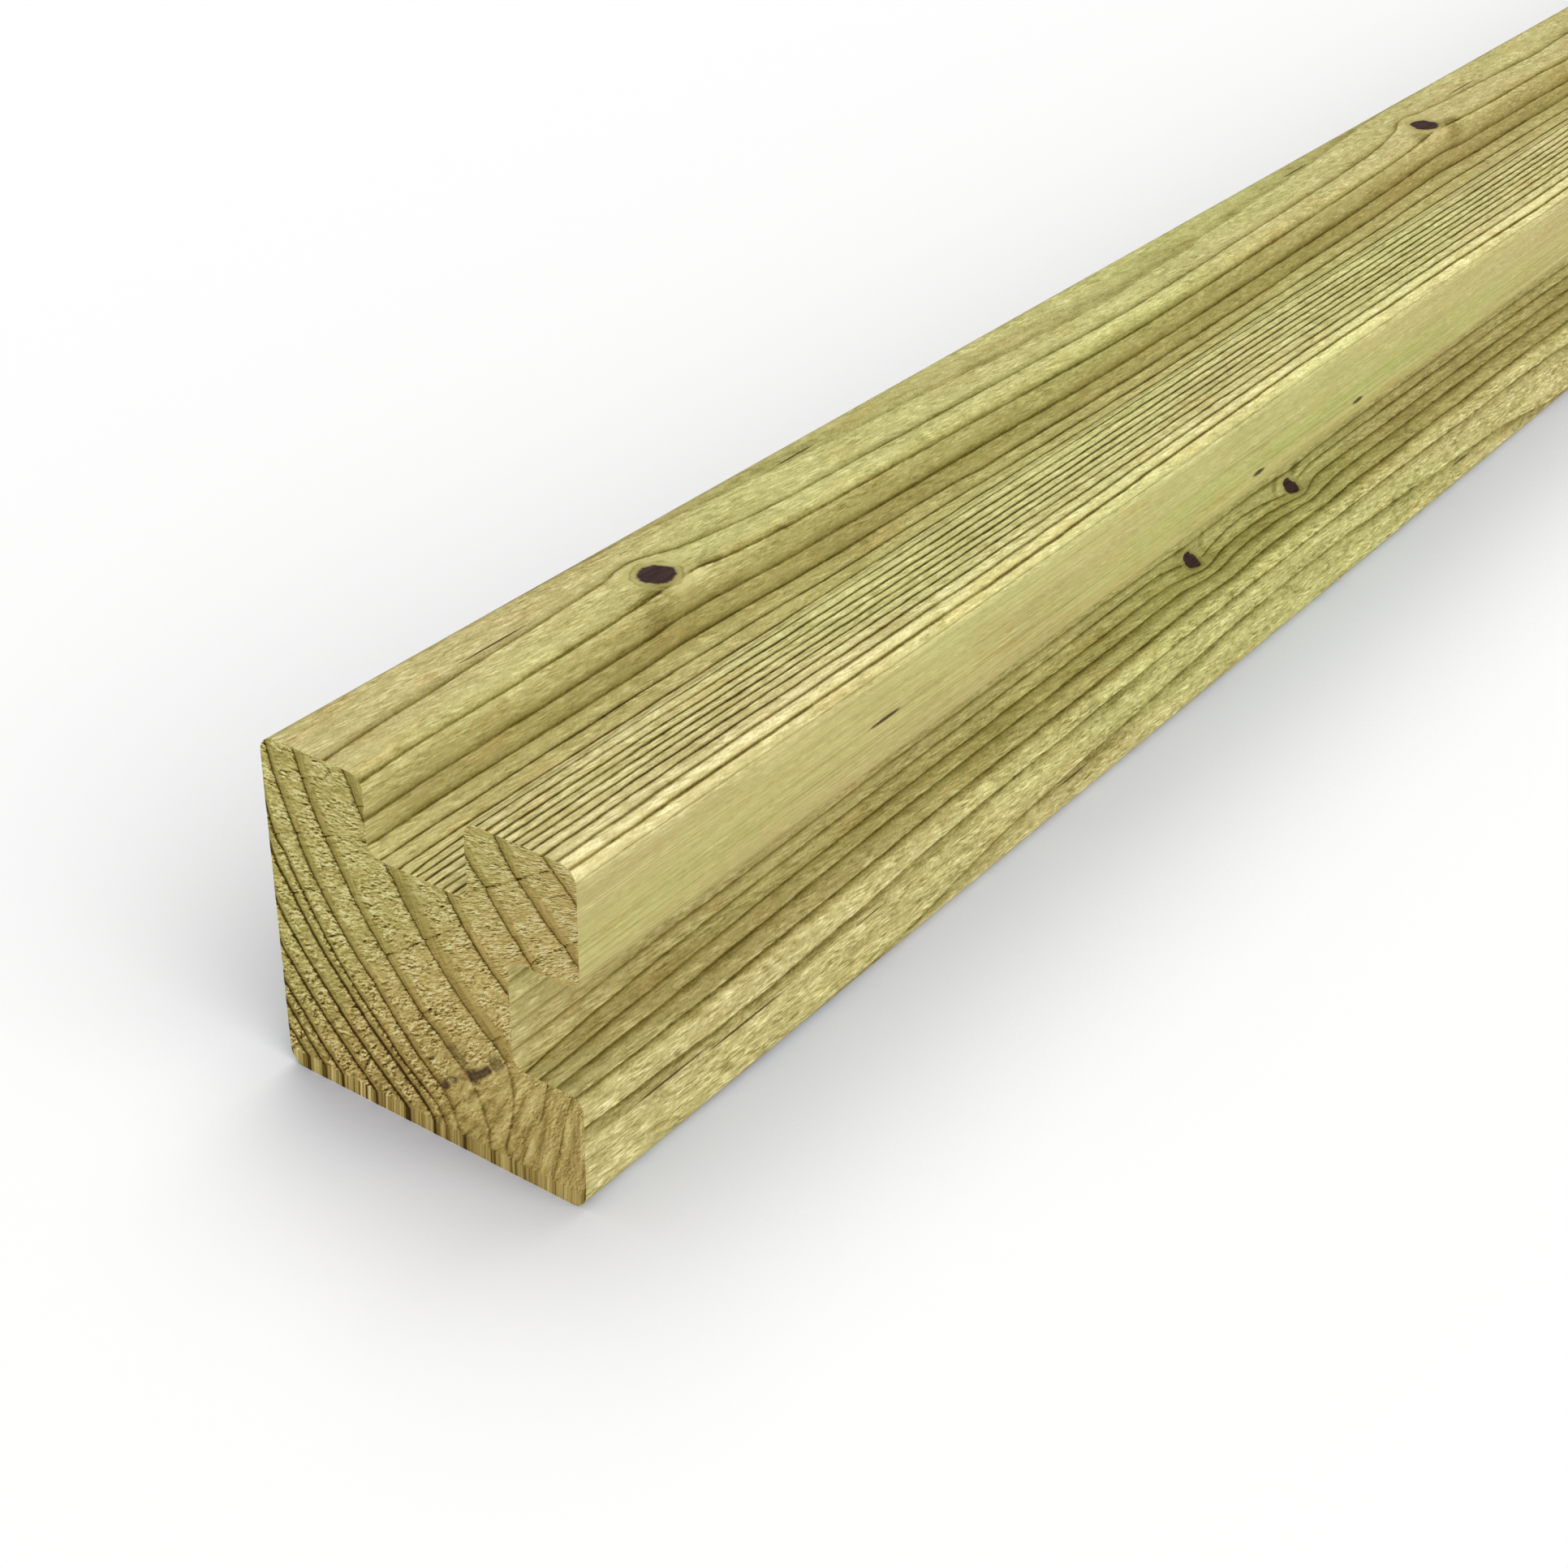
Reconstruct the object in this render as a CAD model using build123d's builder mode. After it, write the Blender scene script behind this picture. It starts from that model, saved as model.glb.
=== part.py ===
from build123d import *
import os

# A square softwood corner post, in millimetres. It lies as it is stored, on its
# plain underside: X runs across it, Y along the grain and Z up. The origin is at
# the middle of the underside. Boards slide into the two grooves, one open
# upwards and one open to the right, so that two fence or cabin walls meet at it.

# The post as it leaves the planer
post_length = 2400
section_side = 90
arris_radius = 4.5

# Each groove holds the edge of a 28 mm board with a little play
groove_width = 29
groove_depth = 20
root_radius = 4
mouth_radius = 3.5


def board_groove():
    """Section of one groove, its mouth on the X axis and its floor below it."""
    with BuildSketch() as groove:
        Rectangle(groove_width, groove_depth, align=(Align.CENTER, Align.MAX))
        floor_corners = groove.vertices().group_by(Axis.Y)[0]
        fillet(floor_corners, root_radius)
    return groove.sketch


def is_mouth_corner(vertex):
    """Whether a corner of the section lies where a groove meets a face of the post."""
    beside_top_groove = abs(abs(vertex.X) - groove_width / 2) < 0.001
    beside_side_groove = abs(abs(vertex.Y - section_side / 2) - groove_width / 2) < 0.001
    on_top_face = abs(vertex.Y - section_side) < 0.001
    on_right_face = abs(vertex.X - section_side / 2) < 0.001
    return (beside_top_groove and on_top_face) or (beside_side_groove and on_right_face)


# One piece of timber, sawn square at both ends
far_end = Plane.XZ.offset(-post_length / 2)
top_groove = Location((0, section_side))
side_groove = Location((section_side / 2, section_side / 2), -90)

with BuildPart() as post:
    with BuildSketch(far_end) as section:
        Rectangle(section_side, section_side, align=(Align.CENTER, Align.MIN))
        fillet(section.vertices(), arris_radius)
        with Locations(top_groove, side_groove):
            add(board_groove(), mode=Mode.SUBTRACT)
        fillet(section.vertices().filter_by(is_mouth_corner), mouth_radius)
    extrude(amount=post_length)

post.part.label = "post"
os.makedirs("parts", exist_ok=True)
export_step(post.part, "parts/post.step")

lip = section_side / 2 - groove_width / 2
print(f"section area {section.sketch.area:.0f} mm2, lip beside each groove {lip:.2f} mm")
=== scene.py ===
# %% [markdown]
# # A grooved corner post of pressure-treated pine
# This lesson dresses one piece of timber: a square post, 90 mm wide and 2.4 m long, with a groove along two
# neighbouring faces. The solid model gives its true size. Here it gets what a sawmill and a tree leave on it:
# growth rings that run on from the sawn end into the long faces, knots, drying checks and the green tint of
# the preservative. First the solid model is loaded, because everything else is measured from it.

from math import cos, pi, radians, sin

import bmesh
import bpy
import numpy as np
from mathutils import Matrix, Vector, noise


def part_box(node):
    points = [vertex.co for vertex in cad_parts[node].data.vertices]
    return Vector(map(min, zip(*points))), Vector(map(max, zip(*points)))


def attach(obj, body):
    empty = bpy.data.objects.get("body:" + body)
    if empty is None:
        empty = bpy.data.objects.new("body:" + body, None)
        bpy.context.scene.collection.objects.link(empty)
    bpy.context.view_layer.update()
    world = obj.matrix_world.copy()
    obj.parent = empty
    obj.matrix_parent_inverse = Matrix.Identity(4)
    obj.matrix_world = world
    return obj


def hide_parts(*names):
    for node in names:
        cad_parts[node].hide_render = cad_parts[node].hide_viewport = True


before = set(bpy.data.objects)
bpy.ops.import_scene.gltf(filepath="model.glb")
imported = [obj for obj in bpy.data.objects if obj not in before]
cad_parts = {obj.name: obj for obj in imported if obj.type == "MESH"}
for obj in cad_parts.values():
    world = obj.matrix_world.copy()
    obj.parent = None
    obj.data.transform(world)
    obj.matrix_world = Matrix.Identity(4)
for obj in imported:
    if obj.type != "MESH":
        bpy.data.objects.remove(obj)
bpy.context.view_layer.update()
low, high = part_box("post")
print("the solid post lies between", tuple(low), "and", tuple(high))

# %% [markdown]
# ## The camera
# The post runs away from the viewer, so its long edges meet at a far vanishing point. The camera stands near
# the sawn end, to its right and above it. A camera object could be turned with three angles, but naming the
# point that it looks at is easier to check: `to_track_quat` turns it there, and a small roll about its own
# axis then tips the horizon by as much as it is tipped in the picture.

# %% Camera
camera_place = Vector((0.33664, -1.53883, 0.38491))
looks_at = Vector((-0.02550, -1.02834, 0.0))
horizon_tilt = radians(0.944)

camera_data = bpy.data.cameras.new("camera")
camera_data.sensor_width = 36
camera_data.lens = 60.64
camera = bpy.data.objects.new("camera", camera_data)
bpy.context.scene.collection.objects.link(camera)
sight = (looks_at - camera_place).to_track_quat("-Z", "Y")
camera.rotation_mode = "QUATERNION"
camera.rotation_quaternion = sight @ Matrix.Rotation(horizon_tilt, 3, "Z").to_quaternion()
camera.location = camera_place
bpy.context.scene.camera = camera
print("camera stands", round((looks_at - camera_place).length, 3), "m from what it looks at")

# %% [markdown]
# ## Writing materials in code
# A material is a graph of nodes. Made one node at a time, such a graph takes pages of code, so this small
# class keeps the tree and gives each common node a short method that returns its output. A number, a tuple
# or another node's output can be passed anywhere, and numbers that flow from node to node can be added and
# multiplied like any others. Colours are written the way a paint program shows them, from 0 to 255, and
# `tone` turns them into the linear light that Blender mixes.


# %% Helpers for materials
def tone(red, green, blue):
    """A colour as a paint program shows it, as the linear colour that a shader takes."""
    shares = [value / 255 for value in (red, green, blue)]
    linear = [s / 12.92 if s < 0.04045 else ((s + 0.055) / 1.055) ** 2.4 for s in shares]
    return (*linear, 1.0)


class Value:
    """A number that flows from node to node. Sums and products of values add Math nodes to the recipe."""

    def __init__(self, recipe, socket):
        self.recipe = recipe
        self.socket = socket

    def __add__(self, other):
        return self.recipe.math("ADD", self, other)

    def __sub__(self, other):
        return self.recipe.math("SUBTRACT", self, other)

    def __rsub__(self, other):
        return self.recipe.math("SUBTRACT", other, self)

    def __mul__(self, other):
        return self.recipe.math("MULTIPLY", self, other)

    def __truediv__(self, other):
        return self.recipe.math("DIVIDE", self, other)

    __radd__ = __add__
    __rmul__ = __mul__


class Recipe:
    """The node tree of one material, filled step by step."""

    def __init__(self, name):
        self.material = bpy.data.materials.new(name)
        self.material.use_nodes = True
        self.tree = self.material.node_tree
        self.surface = self.tree.nodes["Principled BSDF"]

    def feed(self, socket, value):
        """Links a socket, or sets a plain value."""
        value = getattr(value, "socket", value)
        if isinstance(value, bpy.types.NodeSocket):
            self.tree.links.new(value, socket)
        else:
            socket.default_value = value

    def node(self, kind, *values, **settings):
        made = self.tree.nodes.new("ShaderNode" + kind)
        for name, value in settings.items():
            setattr(made, name, value)
        for socket, value in zip(made.inputs, values):
            if value is not None:
                self.feed(socket, value)
        return made

    def math(self, operation, *values, clamp=False):
        return Value(self, self.node("Math", *values, operation=operation, use_clamp=clamp).outputs[0])

    def vector(self, operation, *values):
        return self.node("VectorMath", *values, operation=operation).outputs["Vector"]

    def length(self, vector):
        return Value(self, self.node("VectorMath", vector, operation="LENGTH").outputs["Value"])

    def split(self, vector):
        """The three parts of a vector, each as a value."""
        return [Value(self, part) for part in self.node("SeparateXYZ", vector).outputs]

    def join(self, x, y, z):
        return self.node("CombineXYZ", x, y, z).outputs[0]

    def attribute(self, name):
        return Value(self, self.node("Attribute", attribute_name=name).outputs["Fac"])

    def noise(self, place, detail=2.0, roughness=0.5, distortion=0.0):
        """Smooth noise from 0 to 1, about one lump for each unit of place."""
        inputs = (place, None, 1.0, detail, roughness, None, None, None, distortion)
        return Value(self, self.node("TexNoise", *inputs).outputs[0])

    def rise(self, value, start, end, low=0.0, high=1.0):
        """Goes smoothly from low to high as value goes from start to end."""
        made = self.node("MapRange", value, start, end, low, high, interpolation_type="SMOOTHSTEP")
        return Value(self, made.outputs[0])

    def mix(self, share, first, second, blend="MIX"):
        """Two colours mixed. The Mix node keeps its colour sockets behind those for numbers and vectors."""
        made = self.node("Mix", data_type="RGBA", blend_type=blend, clamp_factor=True)
        for socket, value in ((0, share), (6, first), (7, second)):
            self.feed(made.inputs[socket], value)
        return made.outputs[2]

    def paint(self, colour, roughness, shine):
        for name, value in (("Base Color", colour), ("Roughness", roughness), ("Specular IOR Level", shine)):
            self.feed(self.surface.inputs[name], value)

    def bump(self, height, strength, distance):
        """Shades the surface as if it rose and fell with height, by up to this distance in metres."""
        made = self.node("Bump", strength, distance, None, height)
        self.feed(self.surface.inputs["Normal"], made.outputs[0])


print("white is", tone(255, 255, 255))

# %% [markdown]
# ## Growing the section into a post
# The real post comes out of a planer: one rough length is pushed past cutters that shape the whole section
# at once. The mesh is made in the same order. The twelve corners of the section are joined by edges, bevelled
# to the cutters' radii, and then the outline is extruded along the grain. Growth rings will be drawn on the
# mesh as values at its corners, so the straight stretches of the outline are first divided every 2.5 mm.

# %% The outline of the section
MM = 0.001
side = 90.0
length = 2400.0
groove_width = 29.0
groove_depth = 20.0
arris_radius = 4.5
mouth_radius = 3.5
root_radius = 4.0
lip = (side - groove_width) / 2
floor_height = side - groove_depth
print("lip beside each groove", lip, "mm; groove floor at", floor_height, "mm")

# The corners as (across, up) and their radii, going round from the top left one
section = (
    (0, side, arris_radius),
    (lip, side, mouth_radius),
    (lip, floor_height, root_radius),
    (side - lip, floor_height, root_radius),
    (side - lip, side, mouth_radius),
    (side, side, arris_radius),
    (side, side - lip, mouth_radius),
    (floor_height, side - lip, root_radius),
    (floor_height, lip, root_radius),
    (side, lip, mouth_radius),
    (side, 0, arris_radius),
    (0, 0, arris_radius),
)
mm_to_frame = Matrix.Translation(low) @ Matrix.Scale(MM, 4)
print("the section has", len(section), "corners before they are rounded")

# %% Draw the outline and round its corners
timber = bmesh.new()
corners = [timber.verts.new((across, 0, up)) for across, up, radius in section]
for here, following in zip(corners, corners[1:] + corners[:1]):
    timber.edges.new((here, following))
for radius in (arris_radius, mouth_radius, root_radius):
    bmesh.ops.bevel(
        timber,
        geom=[corner for corner, row in zip(corners, section) if row[2] == radius],
        offset=radius,
        offset_type="OFFSET",
        segments=6,
        profile=0.5,
        material=-1,
        affect="VERTICES",
    )

# Straight stretches are divided evenly, rounded ones are already fine enough
outline_step = 2.5
for edge in timber.edges[:]:
    cuts = int(edge.calc_length() / outline_step)
    if cuts:
        bmesh.ops.subdivide_edges(timber, edges=[edge], cuts=cuts)
print("the outline has", len(timber.verts), "corners")

# %% [markdown]
# ## Where the knots are
# A knot is the foot of a branch. Two kinds show on this post: a round black one in the face left of the top
# groove, and small ones that the side groove's cutter sliced open in its lower inner corner. The grain swings
# round each of them. Their places are needed now, because the mesh is finer there.

# %% Knots
# Each knot's middle, across, along and up, and its half sizes the same way. The cutter met the sliced knots
# in the groove's corner, so each of the first two is a pair of overlapping lumps
knots = (
    ((22.1, 112.8, 90), (4.9, 5.2, 30)),
    ((22.2, 562.4, 90), (4.8, 5.4, 30)),
    ((22.6, 1248, 90), (3.4, 4.2, 30)),
    ((22.4, 1926, 90), (4.8, 5.6, 30)),
    ((71.6, 305.9, 31.2), (2.7, 3.4, 1.9)),
    ((70.0, 304.9, 32.6), (1.5, 2.3, 1.6)),
    ((71.6, 371.2, 31.2), (2.7, 3.4, 1.9)),
    ((70.0, 370.2, 32.6), (1.5, 2.3, 1.6)),
    ((70.0, 986, 31.0), (3.6, 3.0, 3.3)),
    ((70.0, 1734, 31.0), (3.9, 3.2, 3.4)),
    ((0, 655, 52), (20, 6.5, 5.5)),
    ((0, 1420, 39), (20, 4.8, 4.4)),
    ((34, 905, 0), (4.2, 5.0, 20)),
    ((58, 2010, 0), (5.6, 6.8, 20)),
)
knots_along = [middle[1] for middle, half in knots]

# Steps along the grain in mm: beside a knot, in the near part of the post, and further off
knot_step, near_step, far_step = 2.5, 10, 22
near_part = 760
beside_knot = 14
end_margin = 10


def step_at(along):
    """How far the next extrusion goes: short beside a knot, longer in the part that is seen from afar."""
    nearest = min(abs(along - spot) for spot in knots_along)
    if along < near_part:
        return knot_step if nearest < beside_knot else near_step
    return far_step


stations = [0.0, float(end_margin)]
while stations[-1] < length - end_margin - far_step:
    stations.append(stations[-1] + step_at(stations[-1]))
stations += [length - end_margin, length]
print(len(stations), "stations along the grain")

# %% Extrude the outline along the grain
def extrude_to(edges, distance):
    """Pulls an outline along the grain, and returns the new outline."""
    grown = bmesh.ops.extrude_edge_only(timber, edges=edges)["geom"]
    moved = [part for part in grown if isinstance(part, bmesh.types.BMVert)]
    bmesh.ops.translate(timber, verts=moved, vec=(0, distance, 0))
    return [part for part in grown if isinstance(part, bmesh.types.BMEdge) and len(part.link_faces) == 1]


near_outline = timber.edges[:]
first_step = extrude_to(near_outline, stations[1])
known = set(timber.edges)
last_step = extrude_to(first_step, stations[-2] - stations[1])
long_edges = [edge for edge in timber.edges if edge not in known and len(edge.link_faces) == 2]
far_outline = extrude_to(last_step, stations[-1] - stations[-2])
print("extruded to", len(timber.faces), "long faces")

# %% [markdown]
# ## The two sawn ends
# A sawn end is rough: the saw tears the soft early wood of each ring and leaves the hard late wood standing.
# That relief is a few tenths of a millimetre deep, so the ends need a much finer mesh than the planed faces.
# Each end is closed with one face, which `bisect_plane` then cuts into a fine grid. Only the end's own parts
# are handed to it, so the long faces stay coarse and just take the new corners into their edges. Halving the
# faces again and again is quicker than cutting from one side to the other, because each cut meets fewer.

# %% Close the ends and divide them
LONG_GRAIN, END_GRAIN = 0, 1


def divide(faces, direction, start, end, grid_step):
    """Halves the faces between two places again and again, until they are one step wide."""
    steps = round((end - start) / grid_step)
    if steps < 2 or not faces:
        return faces
    middle = start + steps // 2 * grid_step
    edges = dict.fromkeys(edge for face in faces for edge in face.edges)
    verts = dict.fromkeys(vert for face in faces for vert in face.verts)
    cut = bmesh.ops.bisect_plane(
        timber,
        geom=[*faces, *edges, *verts],
        dist=1e-4,
        plane_co=direction * middle,
        plane_no=direction,
    )["geom"]
    faces = [part for part in cut if isinstance(part, bmesh.types.BMFace)]
    nearer = [face for face in faces if face.calc_center_median().dot(direction) < middle]
    further = [face for face in faces if face.calc_center_median().dot(direction) > middle]
    nearer = divide(nearer, direction, start, middle, grid_step)
    return nearer + divide(further, direction, middle, end, grid_step)


def close_end(edges, grid_step):
    """Fills one end of the post and cuts it into squares."""
    faces = bmesh.ops.edgeloop_fill(timber, edges=edges, mat_nr=END_GRAIN)["faces"]
    for direction in (Vector((1, 0, 0)), Vector((0, 0, 1))):
        faces = divide(faces, direction, 0, side, grid_step)
    return faces


near_end = close_end(near_outline, 0.5)
far_end = close_end(far_outline, 0.75)
print("near end", len(near_end), "faces, far end", len(far_end))

# %% [markdown]
# ## Stations along the grain
# The long faces are still one stretch each. `subdivide_edges` divides them evenly in one call, and the new
# corners are then slid along the grain to the uneven stations chosen above.

# %% Divide the long faces
between = len(stations) - 4
divided = bmesh.ops.subdivide_edges(timber, edges=long_edges, cuts=between)
even_step = (stations[-2] - stations[1]) / (between + 1)
for part in divided["geom_inner"]:
    if isinstance(part, bmesh.types.BMVert):
        part.co.y = stations[1 + round((part.co.y - stations[1]) / even_step)]
bmesh.ops.recalc_face_normals(timber, faces=timber.faces[:])
print("the post has", len(timber.faces), "faces")

# %% [markdown]
# ## Growth lines on the planed faces
# Each year a conifer lays down a pale ring that ends in a thin dark one, and the planer cuts those rings into
# long lines. Blender's wood textures give straight or circular rings, but here the lines have places that can
# be measured: thin and close on the groove's floor and the lip, wide and soft elsewhere, and bent round the
# knots. So every line is a short list of points, and the mesh carries a ring number that passes through a
# whole number exactly where a line lies. A material can then draw each line sharply, however coarse the mesh.
#
# Places are written as (along, round). Round is the distance round the section from the top left arris: the
# left wall's top is 0 to 30.5, then come the groove's left wall to 50.5, its floor to 79.5, the lip's inner
# side to 99.5, the lip's top to 130, its right face to 160.5, the side groove's upper wall to 180.5, its
# inner wall to 209.5, the lower wall's top to 229.5 and right face to 260, the underside to 350 and the left
# side to 440.

# %% Growth lines from the top left arris to the lip
# A line is: darkness, width in mm of its soft side, tone of the wood round it, how much figure it shows, and
# its places. That tone is partly the wood's own and partly painted shade, which darkens faces such as the
# lower wall's top in the side groove, under the lip. Along the first stretch the rings get younger, the
# number rises from line to line
top_groove_lines = [
    (0.40, 3.6, 0.10, 1.1, (
        (0, 0.6), (60, 1), (100, 2.5), (130, 5), (160, 7.5), (200, 11), (240, 13), (280, 16), (340, 19),
    )),
    (0.70, 2.6, 0.13, 1.1, (
        (0, 20), (30, 18.3), (60, 17), (90, 15.7), (100, 14.9), (105, 13.9), (110, 12.9), (114, 12.6),
        (118, 13.5), (121, 15.3), (125, 16.8), (130, 18.2), (140, 19.5), (150, 21), (160, 22), (180, 22.8),
        (200, 23.3), (215, 24), (250, 24.9), (270, 25.6), (300, 26.6), (340, 27.7),
    )),
    (0.74, 2.8, 0.09, 1.0, (
        (0, 31.8), (20, 30.9), (60, 30.6), (95, 29.8), (122, 28), (130, 30), (140, 30.5), (160, 31.8),
        (200, 32.8), (250, 34.3), (300, 35.9), (340, 36.5),
    )),
    (0.74, 3.0, 0.05, 0.9, (
        (0, 42), (20, 41.3), (60, 40.9), (95, 40.5), (113, 39.5), (130, 39.9), (150, 41.2), (180, 42),
        (250, 43.5), (300, 44.5), (340, 45),
    )),
    (0.76, 2.4, 0.06, 0.9, (
        (0, 48.7), (30, 48.1), (60, 47.9), (95, 47.7), (113, 46.9), (150, 48.1), (180, 49.1), (230, 49.6),
        (250, 50.7), (340, 51.6),
    )),
    (0.88, 1.3, 0.18, 1.1, (
        (0, 54.3), (20, 53.8), (60, 53.5), (113, 53.2), (150, 53.8), (165, 54.8), (200, 55), (250, 55.7),
        (340, 56.7),
    )),
    (0.95, 1.0, 0.32, 1.1, ((0, 60), (20, 59.3), (200, 59.3), (340, 59.7))),
    (1.00, 0.9, 0.37, 1.1, ((0, 63.5), (20, 62.2), (60, 61.8), (200, 62.2), (340, 62.3))),
]

# The groove's floor and the lip carry close lines that sway together
close_sway = ((0, 0), (50, -0.4), (110, 0.1), (165, 0.3), (250, 0), (340, -0.5))


def swaying(spots, sway, *look):
    """Lines of one look at some distances round the section, all bent by the same sway."""
    return [(*look, tuple((along, spot + shift) for along, shift in sway)) for spot in spots]


floor_spots = (64.8, 67.5, 70.2, 72.7, 75.4, 77.9, 80.6, 83.4, 86.1, 88.9)
lip_spots = (103.2, 106.1, 108.8, 111, 113.6, 115.8, 118.4, 121.5)
top_groove_lines += swaying(floor_spots, close_sway, 1.00, 0.9, 0.42, 1.2)
top_groove_lines += swaying([100.9], close_sway, 0.25, 1.0, 0.29, 1.2)
top_groove_lines += swaying(lip_spots, close_sway, 1.00, 1.0, 0.29, 1.2)
top_groove_lines += [
    (1.12, 1.6, 0.66, 1.3, ((0, 125.3), (50, 124.8), (100, 125.2), (170, 125.7), (250, 124.6), (340, 124))),
    (1.10, 1.5, 0.52, 1.1, ((0, 129.5), (50, 129.6), (100, 129.9), (170, 130.3), (250, 129), (340, 128.2))),
    (0.60, 0.9, 0.40, 1.0, ((0, 133.8), (60, 134), (120, 134.4), (180, 134), (260, 134.1), (340, 133.4))),
    (0.00, 0.8, 0.05, 0.3, ((0, 134.9), (60, 135.1), (120, 135.5), (180, 135.1), (260, 135.2), (340, 134.5))),
    (0.10, 1.6, 0.04, 0.4, ((0, 148), (130, 147.8), (200, 147.4), (280, 147), (340, 146.8))),
    (0.10, 0.8, -0.01, 0.3, ((0, 151.2), (130, 150.2), (200, 150.6), (280, 151), (340, 151))),
]
print(len(top_groove_lines), "lines from the top left arris to the lip's right face")

# %% Growth lines round the side groove
# Round the side groove and down the right face the rings get older again, and the number falls
side_groove_lines = [
    (0.50, 1.4, 0.05, 0.7, ((0, 175), (170, 176), (340, 174.6))),
    (0.50, 1.6, 0.03, 1.0, ((0, 186.5), (100, 187.4), (220, 186.2), (340, 187))),
    (0.50, 1.6, 0.05, 1.0, ((0, 192.6), (100, 191.8), (220, 192.8), (340, 192))),
    (0.50, 1.4, 0.03, 0.9, ((0, 198.8), (100, 198.2), (220, 197.4), (300, 198.6), (340, 197.8))),
    (0.60, 1.5, -0.04, 0.9, (
        (0, 205), (20, 204.7), (50, 203.8), (100, 203.3), (150, 202.6), (250, 202.2), (290, 202.6),
        (305, 203.4), (320, 202.6), (340, 202.2),
    )),
    (0.70, 1.5, -0.08, 1.0, (
        (0, 213), (10, 211.8), (30, 210.3), (50, 209.3), (100, 208.4), (150, 207.8), (200, 207.2),
        (250, 206.8), (290, 206.6), (297, 208), (302, 209.6), (309, 211.6), (316, 210.2), (325, 208.6),
        (340, 207.4),
    )),
    (0.70, 1.6, -0.08, 1.0, (
        (0, 216.9), (50, 215.3), (100, 214), (150, 213.3), (200, 212.9), (250, 212.6), (285, 212.1),
        (293, 212.7), (300, 215), (305, 216.4), (312, 215), (325, 213), (340, 212.7),
    )),
    (0.70, 2.8, -0.01, 1.1, (
        (0, 221.7), (30, 221.3), (60, 220.5), (100, 219.5), (130, 218.5), (200, 218.1), (250, 217.9),
        (285, 217.3), (300, 218.8), (305, 219.6), (312, 218.8), (325, 217.5), (340, 217.2),
    )),
    (0.72, 3.4, 0.02, 1.2, (
        (0, 227.5), (40, 227.6), (80, 227), (120, 226.1), (160, 225.3), (200, 225.1), (250, 224.5),
        (290, 224), (305, 224.6), (325, 223.9), (340, 223.6),
    )),
    (0.68, 3.6, 0.00, 1.5, (
        (0, 236.5), (20, 237), (50, 238.2), (70, 238.3), (100, 236.8), (140, 234.3), (170, 233.4),
        (200, 233.4), (240, 232.5), (270, 231.8), (340, 231.6),
    )),
    (0.58, 4.6, -0.02, 1.5, (
        (0, 264), (60, 260), (100, 257.6), (130, 255), (150, 252), (170, 249), (200, 247), (240, 245),
        (270, 243), (300, 241.5), (340, 240.5),
    )),
]

# The faces turned away from the picture carry on the rings of the sawn end, with a slow sway of their own
hidden_sway = ((0, 0), (70, 0.8), (150, -0.5), (230, -1.6), (340, -0.6))
other_way = tuple((along, -shift) for along, shift in hidden_sway)
underside_spots = (270, 279, 283.4, 288.2, 297.3, 304.8, 313, 323.3, 334.2, 339.2, 344.5)
left_side_spots = (360, 367, 372.8, 383.3, 395, 409, 417)
underside_lines = swaying(underside_spots, hidden_sway, 0.75, 1.8, 0.0, 0.9)
left_side_lines = swaying(left_side_spots, other_way, 0.75, 1.8, 0.0, 0.9)

# Each stretch with 1 where its ring number rises and -1 where it falls
stretches = ((1, top_groove_lines), (-1, side_groove_lines), (1, underside_lines), (-1, left_side_lines))
lines = [row for rising, rows in stretches for row in rows]
print(len(lines), "growth lines round the section")

# %% Where each line runs
# The lines are listed for the near part of the post. From there on they fold back and forth
grain_repeat = 338.0
along_grid = np.arange(0, length + 1)
folded = grain_repeat - np.abs(along_grid % (2 * grain_repeat) - grain_repeat)
smooth_reach = 7
smoothing = np.hanning(2 * smooth_reach + 1)
smoothing /= smoothing.sum()

# A slow wander in mm, stronger further off, keeps the folds from looking alike. It differs little from one
# line to the next
wander = 0.25 * np.sin(along_grid / 61) + 0.2 * np.sin(along_grid / 23 + 1)
wander *= np.clip((along_grid - 500) / 400, 0.2, 3)
wander_turn = 0.11


def run_of(places, turn):
    """The distance round at each mm along the post, with the corners of its point list smoothed."""
    along, around = zip(*places)
    path = np.interp(folded, along, around)
    padded = np.pad(path, smooth_reach, mode="edge")
    return np.convolve(padded, smoothing, mode="valid") + wander * cos(turn * wander_turn)


runs = np.array([run_of(row[4], turn) for turn, row in enumerate(lines)])
runs = np.maximum.accumulate(runs, axis=0)
print("each line is followed over", len(along_grid), "mm")

# %% [markdown]
# ## Rings on the sawn ends
# The post was cut well away from the tree's middle, so its end shows arcs about a pith that lies outside
# the timber, past the upper right corner. Circles would look like a drawing: real rings are uneven, and
# here they bend sharply in the lower right, where a branch pushed them aside. So each ring edge is again a
# short list of places, read as angle and distance about the pith. Between two edges the ring number rises
# evenly.

# %% The ring edges
pith = (140.0, 100.0)
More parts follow.
